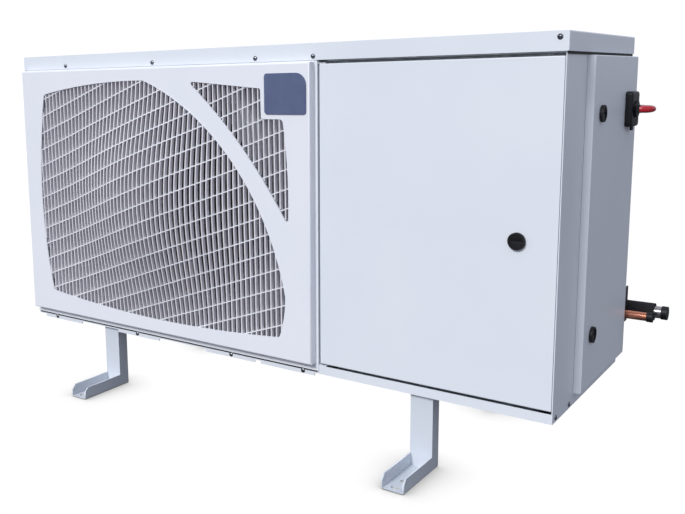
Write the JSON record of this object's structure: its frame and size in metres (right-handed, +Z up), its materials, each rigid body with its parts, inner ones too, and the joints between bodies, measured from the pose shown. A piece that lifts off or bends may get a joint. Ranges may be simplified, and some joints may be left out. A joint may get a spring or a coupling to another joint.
{
  "type": "refrigeration condensing unit",
  "caption": "Low outdoor cabinet on folded feet: fan behind a domed louvre grille, compressor room with hinged door, lift-off side cover with isolator switch, and capped pipe ends.",
  "frame": {"origin": "centre of the rectangle of foot slots, on the floor", "axes": "+X along the front from the fan end to the pipe end, +Y from the front into the depth, +Z up"},
  "size_m": [1.2706, 0.5606, 0.727],
  "materials": {
    "coated_steel": "satin cream white powder coat",
    "galvanised_steel": "dull zinc coat",
    "moulded_panel": "moulded, same colour as the coated sheet",
    "badge_plastic": "plain grey blue",
    "black_rubber": "matt",
    "foam_rubber": "matt closed cell foam",
    "bright_steel": "zinc plated",
    "black_plastic": "slightly glossy moulded black",
    "red_plastic": "dark red",
    "motor_aluminium": "cast",
    "fin_aluminium": "thin fins",
    "black_steel": "black paint",
    "drier_paint": "blue paint",
    "copper": "dull copper"
  },
  "bodies": {
    "cabinet": {"base_pan": "coated_steel", "lid": "coated_steel", "left_panel": "coated_steel", "right_panel": "coated_steel", "rear_panel": "coated_steel", "centre_post": "coated_steel", "partition": "galvanised_steel", "fan_panel": "moulded_panel", "fan_grille": "moulded_panel", "badge_plate": "badge_plastic", "door_frame_rails": "galvanised_steel", "front_rails": "galvanised_steel", "hinge_brackets": "coated_steel", "hinge_pins": "bright_steel", "fan_motor": "motor_aluminium", "motor_bracket": "galvanised_steel", "fan_shroud": "galvanised_steel", "condenser_coil": "fin_aluminium", "coil_guard": "black_steel", "compressor": "black_steel", "compressor_plate": "galvanised_steel", "compressor_mounts": "black_rubber", "compressor_bolts": "bright_steel", "liquid_receiver": "black_steel", "filter_drier": "drier_paint", "discharge_pipe": "copper", "condensate_pipe": "copper", "liquid_pipe": "copper", "suction_pipe": "copper", "suction_sleeve": "foam_rubber", "pipe_caps": "black_plastic", "pipe_bracket": "black_steel", "rear_grommets": "black_rubber", "partition_grommets": "black_rubber", "electric_box": "galvanised_steel", "electric_cover": "galvanised_steel", "electric_shelf": "galvanised_steel", "pressure_switch": "black_plastic", "lid_screws": "bright_steel", "tab_screws": "bright_steel", "side_screws": "bright_steel", "leg_bolts": "bright_steel", "leg_front_left": "coated_steel", "leg_front_right": "coated_steel", "leg_rear_left": "coated_steel", "leg_rear_right": "coated_steel"},
    "door": {"door": "coated_steel", "door_seal": "black_rubber"},
    "door_latch": {"door_latch": "black_plastic"},
    "side_cover": {"side_cover": "coated_steel", "isolator_base": "black_plastic", "isolator_block": "black_plastic"},
    "cover_latch_upper": {"cover_latch_upper": "black_plastic"},
    "cover_latch_lower": {"cover_latch_lower": "black_plastic"},
    "isolator_knob": {"isolator_collar": "black_plastic", "isolator_lever": "red_plastic"},
    "fan": {"fan_blades": "black_plastic", "fan_shaft": "bright_steel"}
  },
  "joints": [
    {"name": "door_hinge", "type": "hinge", "parent": "cabinet", "child": "door", "pos_m": [0.1805, -0.18005, 0.4225], "axis": [0, 0, -1], "range_deg": [0, 100]},
    {"name": "door_latch_turn", "type": "hinge", "parent": "door", "child": "door_latch", "pos_m": [0.5292, -0.18425, 0.415], "axis": [0, -1, 0], "range_deg": [0, 90]},
    {"name": "side_cover_lift_off", "type": "slide", "parent": "cabinet", "child": "side_cover", "axis": [1, 0, 0], "range_m": [0, 0.25]},
    {"name": "cover_latch_upper_turn", "type": "hinge", "parent": "side_cover", "child": "cover_latch_upper", "pos_m": [0.6035, -0.03225, 0.6025], "axis": [1, 0, 0], "range_deg": [0, 90]},
    {"name": "cover_latch_lower_turn", "type": "hinge", "parent": "side_cover", "child": "cover_latch_lower", "pos_m": [0.6035, -0.03225, 0.242], "axis": [1, 0, 0], "range_deg": [0, 90]},
    {"name": "isolator_turn", "type": "hinge", "parent": "side_cover", "child": "isolator_knob", "pos_m": [0.6035, 0.13575, 0.6035], "axis": [1, 0, 0], "range_deg": [0, 90]},
    {"name": "fan_spin", "type": "hinge", "parent": "cabinet", "child": "fan", "pos_m": [-0.2205, -0.12025, 0.424], "axis": [0, 1, 0], "continuous": true}
  ]
}
